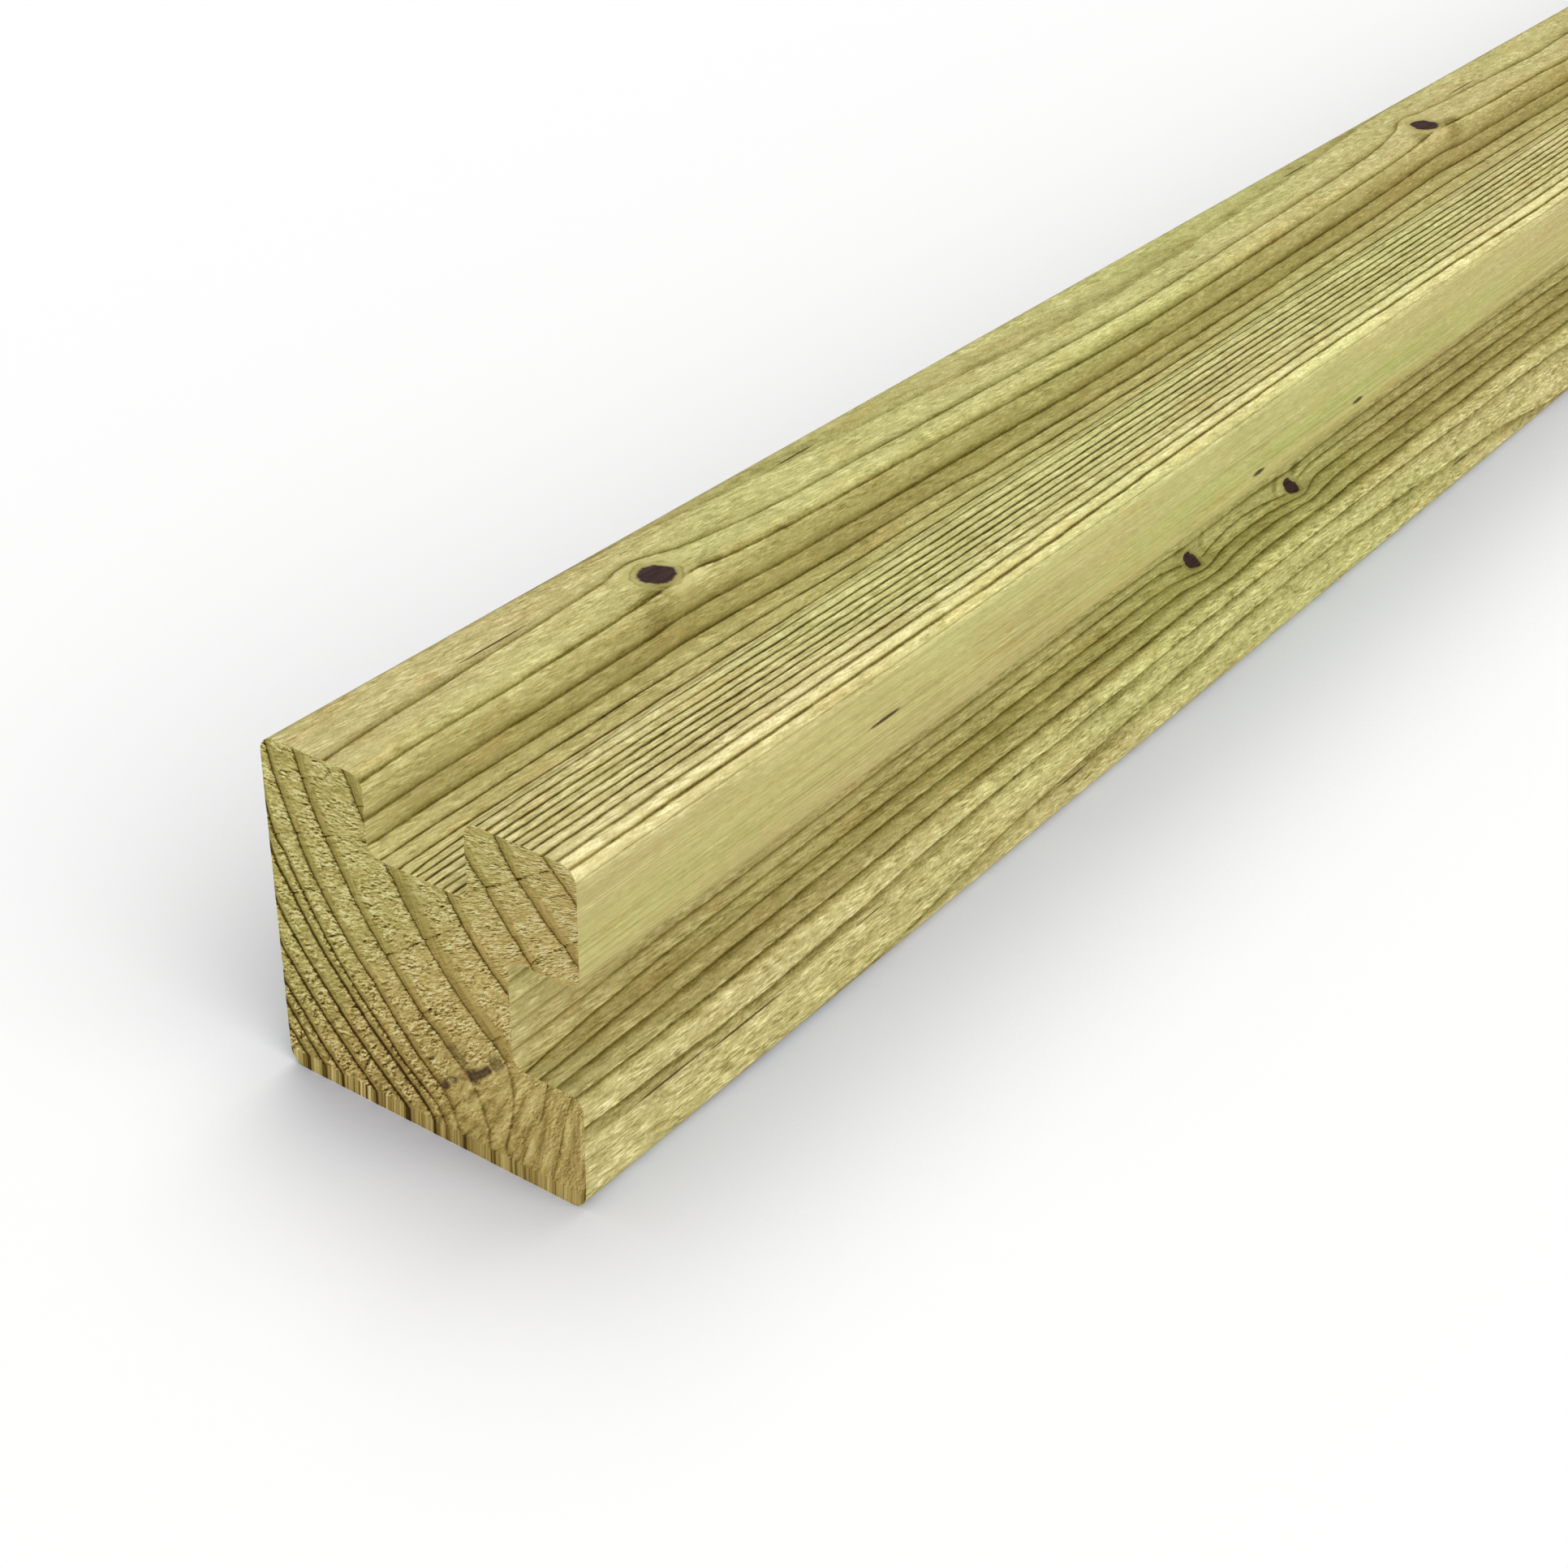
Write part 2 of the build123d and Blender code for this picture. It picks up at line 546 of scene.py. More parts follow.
# A ring edge is: width in mm of its dark late wood, darkness, and its places as (across, up), youngest first
ring_edges = (
    (1.6, 0.60, (
        (74, 98), (81.3, 89.5), (83.5, 87.3), (86.5, 84.5), (90, 81), (100, 68), (105, 45), (103, 25),
        (98, 0),
    )),
    (3.0, 0.60, (
        (66, 94), (68, 90), (70.4, 85.6), (73.5, 81.2), (77.6, 77.4), (80, 74.5), (83.8, 70.9), (86.3, 69),
        (90, 65.5), (96, 56), (98, 40), (95, 28), (89, 3),
    )),
    (2.4, 0.60, (
        (54, 92), (57, 86), (59.5, 81.5), (61.3, 79), (64.6, 75.6), (67.3, 71.5), (69.9, 68.2),
        (72.9, 64.9), (76.3, 60.8), (82, 52), (87, 42), (88, 33), (86, 28), (83, 15), (80, 3),
    )),
    (2.4, 0.80, (
        (44, 92), (46, 84), (50, 76), (53, 70), (55, 66.5), (57.6, 62.8), (60, 59.6), (63.2, 55.9),
        (66, 53.1), (69.5, 50), (76, 42), (80, 33), (79.8, 29), (78, 21), (74, 12), (71, 4),
    )),
    (4.6, 0.60, (
        (25, 90), (27, 86), (28.5, 82), (30.5, 78.5), (35.5, 70), (37.5, 67.2), (40, 62.8), (43, 58.4),
        (45.8, 54), (50, 49), (53.2, 45.2), (58.8, 39.4), (62.6, 36), (66.3, 33.2), (68.2, 31),
        (69.4, 27.2), (69.9, 21), (68.8, 14.4), (67.6, 9.8), (66.6, 5),
    )),
    (2.8, 0.65, (
        (10, 90), (12.2, 82.8), (15.2, 74.8), (17.3, 70.4), (19.8, 66), (22.7, 60.9), (25.5, 55.9),
        (28.6, 51.5), (31.4, 47.8), (34, 44.4), (37.7, 40.1), (41.4, 35.6), (43.7, 33), (48.5, 29.4),
        (51.6, 26.3), (55.7, 22.6), (57.3, 21), (59.1, 17.6), (60.7, 13.8), (61.9, 9.4), (61.8, 4),
    )),
    (2.2, 0.75, (
        (1.5, 88.5), (3.3, 81.2), (5.9, 74), (8.6, 67.4), (12.4, 58.8), (14.8, 54.6), (17.5, 50.5),
        (20.5, 46), (24.5, 40.7), (29.8, 35.1), (32.7, 31), (37, 25.7), (41.4, 21), (46.7, 16.1),
        (49.1, 13.8), (50.7, 10.7), (52.3, 6.6), (52.7, 3.8),
    )),
    (1.2, 0.80, (
        (1, 67), (2.2, 63.4), (4.5, 60.6), (6.1, 56.8), (9.2, 51.5), (13, 45.2), (15.8, 40.7), (21.4, 33.5),
        (27, 27.2), (32.3, 21.9), (35.5, 17.9), (41.7, 12.9), (46.6, 9), (49, 3.8),
    )),
    (1.8, 1.00, (
        (0.3, 59), (1.4, 56.5), (4.8, 51.2), (8, 46), (12.3, 39.4), (15.5, 35.4), (20, 30.4), (26.1, 23.2),
        (33, 16.6), (39.5, 10.7), (43.6, 6.6), (45.2, 4),
    )),
    (1.8, 1.00, (
        (0.4, 45), (3, 40.4), (8, 33.8), (13.6, 27.2), (20, 19.8), (25.5, 14.1), (32.3, 7.9), (37, 3.8),
    )),
    (1.6, 0.90, ((0.5, 33.3), (6.1, 26), (11.1, 20), (17.3, 13.5), (23.6, 7), (26.7, 4.1))),
    (1.4, 0.90, ((0.3, 22.8), (5.2, 16.9), (10.5, 10), (15.8, 4.4))),
    (1.2, 0.80, ((0.3, 17), (4.5, 11.3), (9.5, 5), (10.8, 3.8))),
    (1.2, 0.80, ((0.3, 10), (2.3, 7.6), (5.5, 3.8))),
)
# Widths in mm of the rings before the first edge and after the last one, and of the thinnest ring
first_ring = 9
last_ring = 5
thinnest_ring = 0.6
print(len(ring_edges), "ring edges on each end")

# %% Ring numbers at any place on an end
def about_pith(across, up):
    """Angle and distance about the pith."""
    return np.arctan2(up - pith[1], across - pith[0]) % (2 * pi), np.hypot(across - pith[0], up - pith[1])


def ring_number_at(across, up):
    """Ring number, ring width, late wood width and darkness at places on a sawn end."""
    angle, distance = about_pith(across, up)
    edges = [about_pith(*np.array(places, float).T) for _, _, places in ring_edges]
    reach = [np.interp(angle, edge_angle, edge_distance) for edge_angle, edge_distance in edges]
    reach.insert(0, reach[0] - first_ring)
    reach.append(reach[-1] + last_ring)
    for outer in range(1, len(reach)):
        reach[outer] = np.maximum(reach[outer], reach[outer - 1] + thinnest_ring)
    rings = np.zeros_like(distance)
    width = np.full_like(distance, 6.0)
    late = np.full_like(distance, 1.6)
    dark = np.full_like(distance, 0.8)
    for ring, (inner, outer) in enumerate(zip(reach, reach[1:])):
        inside = (distance >= inner) & (distance < outer)
        rings[inside] = (ring + (distance - inner) / (outer - inner))[inside]
        width[inside] = (outer - inner)[inside]
        late[inside], dark[inside] = ring_edges[min(ring, len(ring_edges) - 1)][:2]
    return rings, width, late, dark


print("ring number in the middle of an end:", ring_number_at(np.array([side / 2]), np.array([side / 2]))[0])

# %% [markdown]
# ## Drying checks
# As the post dried, it shrank more round the rings than across them and split along the rays, which point
# at the pith. Those checks are fine cracks, darkened with painted shade inside them. Each one is a short list
# of places too. The mesh carries how far its corners lie to one side or the other of the nearest check, so
# the crack itself stays a sharp line.

# %% The checks
# A check is its strength and its places as (across, up)
checks = (
    (0.7, ((6.7, 81.3), (12, 82.9), (16.7, 84.6), (23, 86.8))),
    (0.5, ((22, 80), (26, 81), (30.5, 82.5))),
    (0.7, ((17, 69.5), (20, 71), (25, 72), (30.3, 73))),
    (0.6, ((1.5, 64), (5, 66), (9, 67.5), (12.5, 68.5))),
    (0.7, ((5.5, 50), (9, 51.8), (14.5, 54.5), (19.5, 57))),
    (0.6, ((28, 62.5), (31.5, 63.8), (35, 65.5))),
    (1.0, ((34, 45), (37, 47), (40.5, 49.5), (46, 54), (50, 57), (57, 62.5))),
    (1.0, ((59.1, 71.5), (61.3, 73.4), (64.6, 75.3), (70.4, 78.7), (75, 81.8), (80, 85.1), (83.5, 87.1))),
    (0.6, ((72.6, 72.8), (76, 75))),
    (1.0, ((76.3, 60.4), (78.8, 63.4), (81.6, 65.6), (85.7, 69), (89.9, 72.3))),
    (0.7, ((82.9, 80.3), (87.9, 82.8))),
    (0.5, ((29.5, 41.3), (32.7, 43.5))),
    (0.5, ((35.2, 31), (39.2, 34.8))),
    (0.5, ((24.5, 20.1), (26.7, 22))),
    (0.7, ((41.3, 31), (45.4, 34.8), (51.3, 40.1))),
    (1.0, ((64.4, 35), (67.3, 37.7))),
    (0.6, ((57.9, 50.6), (60.7, 53.6))),
    (0.5, ((62.6, 43.5), (64.4, 46))),
)
print(len(checks), "checks on each end")

# %% How far a place lies beside a path
# A check or a stain fades out over this many mm past its last place
tip_length = 0.6


def beside(paths, across, up, reach):
    """How far to the side of the nearest path each place lies in mm, and how strong that path is there."""
    aside = np.full_like(across, reach)
    strength = np.zeros_like(across)
    nearest = np.full_like(across, reach)
    for force, places in paths:
        for (start_x, start_z), (end_x, end_z) in zip(places, places[1:]):
            span = np.hypot(end_x - start_x, end_z - start_z)
            way = ((across - start_x) * (end_x - start_x) + (up - start_z) * (end_z - start_z)) / span
            side_step = ((up - start_z) * (end_x - start_x) - (across - start_x) * (end_z - start_z)) / span
            beyond = np.maximum(0, np.maximum(-way, way - span))
            apart = np.hypot(side_step, beyond)
            closer = apart < nearest
            nearest[closer] = apart[closer]
            aside[closer] = side_step[closer]
            strength[closer] = (force * np.clip(1 - beyond / tip_length, 0, 1))[closer]
    return aside, strength


check_reach = 1.6
print("checks are looked for within", check_reach, "mm")

# %% [markdown]
# ## The branch in the corner
# The lower right corner of each end lies beside the foot of a branch. Its wood is smooth and tan, without the
# torn scales, and resin has stained the rings that it pushed aside. Both are soft-edged, so they can be plain
# amounts on the mesh, from 0 to 1.

# %% Branch and stains
branch_middle = (74.0, 6.0)
branch_half = (28.0, 25.0)
# A stain is its strength, its half width in mm and its places as (across, up)
stains = (
    (0.85, 1.5, ((57.0, 22.0), (59.4, 22.8))),
    (0.85, 0.9, ((59.0, 22.8), (61.0, 24.6), (63.0, 26.6))),
    (0.4, 1.0, ((51.5, 28.2), (53.8, 26.4), (57.4, 23.2))),
    (0.5, 1.7, ((63.8, 27.8), (66.6, 30.4))),
    (0.8, 0.9, ((48.8, 15.2), (50.2, 17.2))),
    (0.6, 0.8, ((51.0, 18.2), (53.2, 19.2))),
    (0.4, 0.5, ((53.2, 19.4), (57.0, 21.2))),
)


def branch_at(across, up):
    """1 inside the branch wood, falling to 0 round it."""
    apart = np.hypot((across - branch_middle[0]) / branch_half[0], (up - branch_middle[1]) / branch_half[1])
    return np.clip((1.15 - apart) / 0.3, 0, 1)


def stain_at(across, up):
    """How stained each place is."""
    amount = np.zeros_like(across)
    for strength, half_width, places in stains:
        aside, force = beside(((strength, places),), across, up, 2 * half_width)
        amount = np.maximum(amount, force * np.clip(1.7 - np.abs(aside) / half_width, 0, 1))
    return amount


print(len(stains), "stains beside the branch")

# %% [markdown]
# ## From the editing mesh to the finished one
# The bmesh becomes a mesh, and the ring values go onto it as named attributes. They belong to face corners,
# not to vertices, because the count of rings round the section does not come back to where it began: at the
# top left arris one face ends on one number and the next begins on another, and only their fractions agree.

# %% Make the mesh
post_mesh = bpy.data.meshes.new("post_timber")
timber.to_mesh(post_mesh)
timber.free()
post = bpy.data.objects.new("post_timber", post_mesh)
bpy.context.scene.collection.objects.link(post)


def read(items, name, width, kind=float):
    """One property of every item of a mesh, as an array."""
    values = np.zeros(len(items) * width, kind)
    items.foreach_get(name, values)
    return values.reshape(-1, width) if width > 1 else values


spots = read(post_mesh.vertices, "co", 3)
corner_vertex = read(post_mesh.loops, "vertex_index", 1, int)
corners_of_face = read(post_mesh.polygons, "loop_total", 1, int)
face_kind = read(post_mesh.polygons, "material_index", 1, int)
corner_kind = np.repeat(face_kind, corners_of_face)
across, along, up = spots[corner_vertex].T
print(len(spots), "vertices and", len(corner_vertex), "face corners")

# %% How far round the section a place lies
# How near in mm a corner must lie to a straight or a round part of the outline to belong to it
on_line = 0.02
on_arc = 0.06
slack = 0.01
perimeter = 4 * side + 4 * groove_depth


def distance_round(across, up):
    """Distance in mm round the section from the top left arris to places on its outline."""
    around = np.full_like(across, np.nan)
    here = np.array([across, up])
    points = [np.array(row[:2], float) for row in section]
    start = 0.0
    for number, point in enumerate(points):
        radius = section[number][2]
        ahead = points[(number + 1) % len(points)] - point
        span = np.linalg.norm(ahead)
        ahead /= span
        offset = here - point[:, None]
        way = ahead @ offset
        aside = np.abs(ahead[0] * offset[1] - ahead[1] * offset[0])
        straight = (aside < on_line) & (way > -on_line) & (way < span + on_line) & np.isnan(around)
        around[straight] = start + way[straight]

        # The rounded corner, which begins one radius before the point
        behind = point - points[number - 1]
        behind /= np.linalg.norm(behind)
        offset = here - (point - radius * behind)[:, None]
        onward, turned = behind @ offset, ahead @ offset
        share = np.arctan2(onward, radius - turned) / (pi / 2)
        round_part = np.abs(np.hypot(onward, radius - turned) - radius) < on_arc
        round_part &= (share > -slack) & (share < 1 + slack)
        round_part &= (onward < radius + slack) & (turned < radius + slack)
        around[round_part] = start - radius + 2 * radius * share[round_part]
        start += span
    return around


print("round the whole section it is", perimeter, "mm")

# %% How far round each corner of the mesh lies
around = distance_round(across, up)
on_planed = corner_kind == LONG_GRAIN
lost = int(np.isnan(around[on_planed]).sum())
around = np.where(np.isnan(around), 0, around) % perimeter
around[around > perimeter - 0.001] = 0

# A face that ends at the top left arris from below counts on to the full perimeter there
first_corner = read(post_mesh.polygons, "loop_start", 1, int)
furthest = np.repeat(np.maximum.reduceat(around, first_corner), corners_of_face)
around[(furthest > perimeter / 2) & (around < 10)] += perimeter
print(lost, "corners of planed faces are off the outline")

# %% Stops of the ring number
# Between these stops the ring number and the look of the lines change evenly. They lie at each line, half a
# ring further on at the turning point between two stretches, and at both ends of the way round. The two ends
# lie at the same fraction of a ring, so that no seam shows at the top left arris. A stop is: the two lines
# that it lies halfway between, often one and the same, then its ring number and the look of its line
seam_fraction = 0.6
stops = [(0, 0, seam_fraction, *lines[0][:4])]
count = 0
number = 0
for rising, rows in stretches:
    for row in rows:
        count += 1
        number += rising
        stops.append((count, count, number, *row[:4]))
    stops.append((count, count + 1, number + rising / 2, *row[:4]))
    number += rising
last_number = stops[-2][2]
stops[-1] = (count + 1, count + 1, last_number - 1 + seam_fraction, *lines[0][:4])
first_of, second_of = np.array(stops)[:, :2].astype(int).T
looks_at_stops = np.array(stops)[:, 2:].T
print(len(stops), "stops, the last at ring number", round(stops[-1][2], 1))

# %% Ring numbers on the planed faces
rings = np.zeros(len(around))
widths = np.full(len(around), 3.0)
darks, soft_sides, tones_and_shade, figures = np.zeros((4, len(around)))
station_number = np.round(along, 3)
for station in np.unique(station_number[on_planed]):
    here = on_planed & (station_number == station)
    marks = np.concatenate(([0], runs[:, int(round(station))], [perimeter]))
    stop_places = (marks[first_of] + marks[second_of]) / 2
    gaps = np.diff(marks)
    line_width = (np.append(gaps, gaps[-1])[first_of] + gaps[np.maximum(second_of - 1, 0)]) / 2
    widths[here] = np.interp(around[here], stop_places, line_width)
    for target, look in zip((rings, darks, soft_sides, tones_and_shade, figures), looks_at_stops):
        target[here] = np.interp(around[here], stop_places, look)
print("ring numbers from", round(rings.min(), 1), "to", round(rings.max(), 1))

# %% Ring numbers on the sawn ends
# Below this height in mm the saw tore the fibres straight down, so everything repeats what lies just above
tear_height = 3.8
on_end = ~on_planed
end_up = np.maximum(up[on_end], tear_height)
rings[on_end], widths[on_end], soft_sides[on_end], darks[on_end] = ring_number_at(across[on_end], end_up)
check_sides = np.full(len(around), check_reach)
check_strengths, branches, stained = np.zeros((3, len(around)))
check_sides[on_end], check_strengths[on_end] = beside(checks, across[on_end], up[on_end], check_reach)
branches[on_end] = branch_at(across[on_end], up[on_end])
stained[on_end] = stain_at(across[on_end], up[on_end])
print((branches > 0.5).sum(), "corners lie in the branch,", (stained > 0.1).sum(), "in its stains")

# %% Put the values on the mesh
attributes = {
    "ring": rings,
    "ring_width": widths,
    "line_dark": darks,
    "soft_side": soft_sides,
    "tone_and_shade": tones_and_shade,
    "figure": figures,
    "check_side": check_sides,
    "check_strength": check_strengths,
    "branch": branches,
    "stain": stained,
}
for name, per_corner in attributes.items():
    attribute = post_mesh.attributes.new(name, "FLOAT", "CORNER")
    attribute.data.foreach_set("value", per_corner.astype(np.float32))
print("attributes on the mesh:", ", ".join(attributes))

# %% [markdown]
# ## Relief of the sawn ends and the knots
# The saw leaves the hard late wood of each ring standing a little proud and tears the soft early wood
# between. A displacement in the material would not reach the exported mesh, so the vertices themselves
# move, always inwards, and the post stays inside its solid model. The checks gape, and the knots have
# shrunk a little below the planed faces as well.

# %% Relief of the sawn ends
# Depths in mm: of the early wood, of its torn scales, of a check, the most that any corner may move, and how
# far a knot has shrunk
step_relief = 0.14
torn_relief = 0.22
check_relief = 0.5
most_relief = 0.9
knot_relief = 0.3
check_half_width = 0.45

vertex_of_end = np.zeros(len(spots), bool)
vertex_of_end[corner_vertex[on_end]] = True
inner_spots = spots[vertex_of_end]
torn_up = np.maximum(inner_spots[:, 2], tear_height)
ring_values = ring_number_at(inner_spots[:, 0], torn_up)
position_in_ring = ring_values[0] % 1
before_edge = (1 - position_in_ring) * ring_values[1]
late_share = np.clip(1 - before_edge / ring_values[2], 0, 1)
after_edge = position_in_ring * ring_values[1]
step_depth = step_relief * np.clip(after_edge, 0, 1) * (1 - late_share**0.5)
check_side, check_strength = beside(checks, inner_spots[:, 0], inner_spots[:, 2], check_reach)
check_depth = check_relief * check_strength * np.clip(1 - np.abs(check_side) / check_half_width, 0, 1)


def torn_at(x, y, z):
    """Torn scales on broad lumps, from about 0 to 1."""
    scale = noise.noise((x * 1.3 + 17, z * 2.2 - x * 0.5, y))
    lump = noise.noise((x * 0.4, z * 0.5, 9 + y))
    return 0.5 + 0.5 * scale + 0.35 * lump


torn_depth = np.array([torn_at(x, y, z) for x, y, z in zip(*inner_spots[:, :2].T, torn_up)])
depth = step_depth + torn_relief * torn_depth * (1 - 0.8 * late_share) + check_depth

# The rim of the end was cut straight, so the relief fades out over the last millimetres towards it
rim_width = 3
from_rim = np.minimum(
    np.minimum(inner_spots[:, 0], side - inner_spots[:, 0]),
    np.minimum(inner_spots[:, 2], side - inner_spots[:, 2]),
)
depth *= np.clip(from_rim / rim_width, 0.25, 1)
inwards = np.where(inner_spots[:, 1] < length / 2, 1, -1)
spots[vertex_of_end, 1] += inwards * np.clip(depth, 0, most_relief)
print("deepest relief", round(float(depth.max()), 2), "mm")

# %% Sink the knots
sunk = read(post_mesh.vertices, "normal", 3)
for middle, half in knots:
    apart = np.linalg.norm((spots - middle) / half, axis=1)
    sink = knot_relief * np.clip(1.15 - apart, 0, 1) * ~vertex_of_end
    spots -= sunk * sink[:, None]
post_mesh.vertices.foreach_set("co", spots.ravel())
post_mesh.transform(mm_to_frame)
print(len(knots), "knots are sunk by up to", knot_relief, "mm")

# %% Smooth arrises and crisp ends
# Rounded arrises are shaded smooth, and the sawn edge between an end and a long face stays crisp
post_mesh.shade_smooth()
edge_sides = {}
for face in post_mesh.polygons:
    for edge in face.edge_keys:
        edge_sides.setdefault(edge, set()).add(face.material_index)
for edge in post_mesh.edges:
    edge.use_edge_sharp = len(edge_sides[edge.key]) > 1
print(sum(edge.use_edge_sharp for edge in post_mesh.edges), "sharp edges round the two ends")

# %% [markdown]
# ## The planed faces
# Pressure-treated pine is tan wood under a thin green stain. What makes it read as pine is in layers, from
# large to small: light and dark drift along the post, soft olive bands lead up to each thin dark growth
# line, painted glints stand for the silky sheen of the pale wood between the lines, and fine fibres run
# through all of it. Mixing a colour for each layer would muddy them. So every layer only makes one number
# larger or smaller, the value of the wood from 0, dark, to 1, pale, and one ramp of real wood colours turns
# that number into paint at the end. Each layer is a noise stretched along the grain, or is drawn from the
# ring numbers on the mesh. Lengths here are millimetres.

# %% Planed wood: places and noises
PER_METRE = (1 / MM,) * 3
planed = Recipe("planed_pine")
object_place = planed.node("TexCoord").outputs["Object"]
place_mm = planed.vector("MULTIPLY", object_place, PER_METRE)


def stretched(across, along, slant=0.0):
    """The place, shrunk so that noise on it has lumps this many mm across and along the grain."""
    turned = place_mm
    if slant:
        turned = planed.node("Mapping", place_mm, None, (slant, 0.0, slant)).outputs[0]
    return planed.vector("MULTIPLY", turned, (1 / across, 1 / along, 1 / across))


def grain_noise(across, along, slant=0.0, detail=2.0, roughness=0.5, distortion=0.0):
    return planed.noise(stretched(across, along, slant), detail, roughness, distortion)


drift = grain_noise(30, 160, detail=1.0)
patches = grain_noise(4.5, 40)
mottle = grain_noise(1.7, 6.5, 0.10, 2.0, 0.6, 0.3)
clusters = grain_noise(3.2, 9, 0.08)
glint_grain = grain_noise(0.52, 5.0, 0.06, 3.0, 0.65)
grit = grain_noise(0.36, 1.6, -0.2, 2.0, 0.6)
combed = grain_noise(0.36, 190, detail=3.0, roughness=0.75)
fibres = grain_noise(0.24, 24, roughness=0.6)
waver = grain_noise(3.0, 17)
print("nine noises for the planed faces")

# %% [markdown]
# A growth line darkens softly through one year's late wood and ends sharply where the next year begins. The
# fraction of the ring number says how far through its ring a spot lies. Times the ring's width that is a
# distance in mm, so a line keeps its thickness whether its ring is wide or narrow.


# %% Planed wood: growth lines
def beside_edges(recipe, waver, sway):
    """Distances in mm to the ring edge ahead and past the one behind, swaying by up to half this many mm."""
    ring_width = recipe.attribute("ring_width")
    in_ring = recipe.math("FRACT", recipe.attribute("ring") + sway * (waver - 0.5) / ring_width)
    return (1.0 - in_ring) * ring_width, in_ring * ring_width


to_line, past_line = beside_edges(planed, waver, 0.8)

# A darkness above 1 makes a line broader, and purplish
line_dark = planed.attribute("line_dark")
soft_side = planed.attribute("soft_side")
breadth = planed.math("MAXIMUM", line_dark - 1.0, 0.0)
core_width = 0.44 + 0.16 * soft_side + breadth
past_width = 0.34 + 1.4 * breadth
thin_line = planed.math(
    "MAXIMUM",
    planed.rise(to_line / core_width, 1.3, 0.45),
    planed.rise(past_line / past_width, 1.0, 0.2),
)
band_share = to_line / soft_side
soft_band = planed.rise(band_share, 1.25, 0.0)
open_wood = planed.rise(band_share, 0.4, 1.3)
ebb = planed.rise(grain_noise(4, 45, detail=1.0), 0.25, 0.55, 0.7, 1.0)
darkness = planed.math("MULTIPLY", line_dark, ebb, clamp=True)
print("growth lines take", len(planed.tree.nodes), "nodes so far")

# %% [markdown]
# A knot is darker and harder wood with its own rings, and the grain beside it is bent and broken. Each is
# an ellipsoid in space, so one knot shows rightly on every face that cuts it. Its distance, wobbled by
# noise, gives the dark core, a rim, the rings about it and the calmer collar of wood round them.


# %% Planed wood: knots
def nearest_of(place, ellipsoids, wobble_size=0.35, wobble_gain=0.5):
    """Distance to the nearest of some ellipsoids, where 1 is its skin."""
    far_off = 9.0
    wobble = planed.noise(planed.vector("MULTIPLY", place, (wobble_size,) * 3), 2.0)
    nearest = far_off
    for middle, half in ellipsoids:
        centre = Vector(low) / MM + Vector(middle)
        from_middle = planed.vector("SUBTRACT", place, tuple(centre))
        scaled = planed.vector("DIVIDE", from_middle, half)
        nearest = planed.math("MINIMUM", planed.length(scaled), nearest)
    return nearest + wobble_gain * (wobble - 0.5)


knot_distance = nearest_of(place_mm, knots)
knot_core = planed.rise(knot_distance, 1.12, 0.90)
outside_core = planed.rise(knot_distance, 0.9, 1.05)
rim = planed.rise(knot_distance, 1.45, 1.1) * outside_core
collar = planed.rise(knot_distance, 2.3, 1.2) * outside_core
swirl = planed.math("SINE", 15.0 * knot_distance)
swirl_strength = planed.rise(knot_distance, 2.4, 1.2) * planed.rise(swirl, 0.5, 1.0)
calm = 1.0 - 0.85 * collar

# One thin line wraps round each knot, broken into arcs
wrap = planed.rise(knot_distance, 1.24, 1.31) * planed.rise(knot_distance, 1.44, 1.36)
wrap *= planed.rise(grain_noise(5, 7, detail=1.0), 0.46, 0.58)
print("with the knots there are", len(planed.tree.nodes), "nodes")

# %% Planed wood: small dark marks
# Pitch streaks and bruises, thin as a pencil line. The grain repeats in mirror image along the post, and so
# does this list: each mark's middle, across, along and up, and its half sizes
marks = (
    ((13.9, 62, 90), (0.35, 13, 3)),
    ((8.2, 190, 90), (0.35, 10, 3)),
    ((90, 113, 73.1), (3, 7.0, 0.60)),
    ((90, 305.2, 65.8), (3, 3.8, 0.85)),
    ((90, 30, 18.5), (3, 15, 0.40)),
    ((90, 58, 17), (3, 17, 0.40)),
    ((90, 110, 19), (3, 8, 0.25)),
    ((90, 208, 11), (3, 8, 0.45)),
)
# Soft dark patches beside the knots, written the same way
smudges = (
    ((29.0, 103, 90), (5.5, 7.5, 10)),
    ((27.0, 127, 90), (3.0, 4.5, 6)),
    ((70, 299.8, 36.0), (3, 3.6, 2.2)),
    ((70, 314, 34.6), (3, 2.0, 3.4)),
)
part_x, part_y, part_z = planed.split(place_mm)
from_near_end = part_y - low.y / MM
mirrored = planed.math("PINGPONG", from_near_end, grain_repeat)
mirrored_place = planed.join(part_x, mirrored + low.y / MM, part_z)
mark = planed.rise(nearest_of(mirrored_place, marks, 0.9), 1.15, 0.6)
smudge = planed.rise(nearest_of(mirrored_place, smudges), 1.4, 0.4)
print(len(marks), "marks and", len(smudges), "smudges")


# %% Planed wood: the value of the wood
def layer(value, source, gain, middle=0.5):
    """Raises a value where the source is above its middle, and lowers it where the source is below."""
    return value + gain * (source - middle)


figure = planed.attribute("figure")
# Painted glints stand for the silky sheen of the pale wood; grit and mottle add the wood's own tone
glint_gain = planed.rise(clusters, 0.38, 0.62, 0.3, 1.0) * (0.3 + 0.7 * open_wood)
glints_and_mottle = 0.4 * (planed.rise(glint_grain, 0.3, 0.74) - 0.34) * glint_gain
glints_and_mottle = layer(glints_and_mottle, grit, 0.36)
glints_and_mottle = layer(glints_and_mottle, mottle, 0.34)
